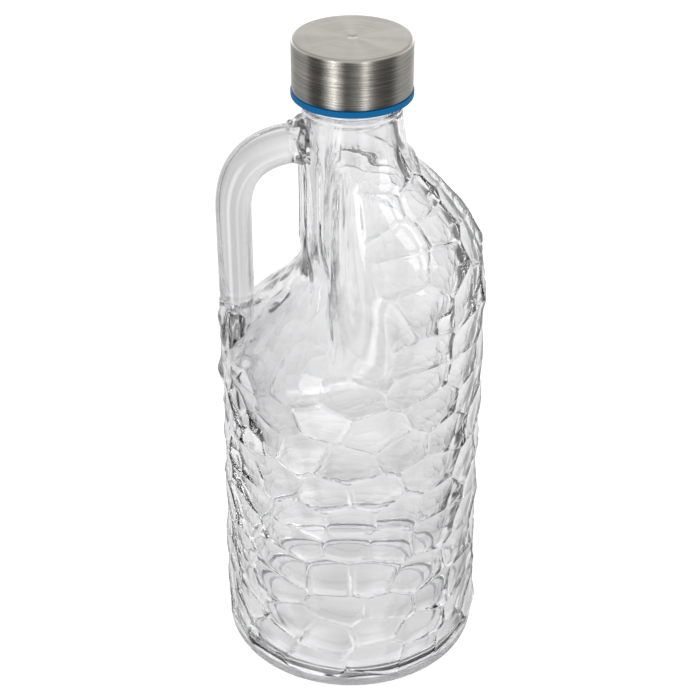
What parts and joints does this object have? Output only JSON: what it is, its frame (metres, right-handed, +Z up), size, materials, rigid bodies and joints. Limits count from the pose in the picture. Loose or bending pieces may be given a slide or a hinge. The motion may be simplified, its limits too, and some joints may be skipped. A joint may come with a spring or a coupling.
{
  "type": "water jug",
  "caption": "Tall glass water jug with a dimpled wall, a moulded-in side handle, and a screw cap of brushed steel over a blue plastic liner and a flat seal.",
  "frame": {"origin": "on the jug's axis, at the surface that it stands on", "axes": "+Z up along the jug's axis; the handle lies along -X; +Y completes the right-handed frame"},
  "size_m": [0.112, 0.112, 0.2818],
  "materials": {
    "clear_glass": "clear, glossy, with shallow moulded dimples",
    "blue_plastic": "satin moulded blue plastic",
    "brushed_steel": "brushed round the side, spun on the top",
    "clear_silicone": "translucent matt silicone"
  },
  "bodies": {
    "jug": {"glass_jug": "clear_glass"},
    "seal": {"cap_seal": "clear_silicone"},
    "cap": {"cap_liner": "blue_plastic", "cap_shell": "brushed_steel"}
  },
  "joints": [
    {"name": "cap_rise", "type": "slide", "parent": "jug", "child": "seal", "axis": [0, 0, 1], "range_m": [0, 0.0251]},
    {"name": "cap_turn", "type": "hinge", "parent": "seal", "child": "cap", "pos_m": [0, 0, 0.27], "axis": [0, 0, 1], "range_deg": [0, 1800]}
  ],
  "couplings": [
    {"joint": "cap_rise", "follows": "cap_turn", "m_per_rad": 0.00079577}
  ]
}
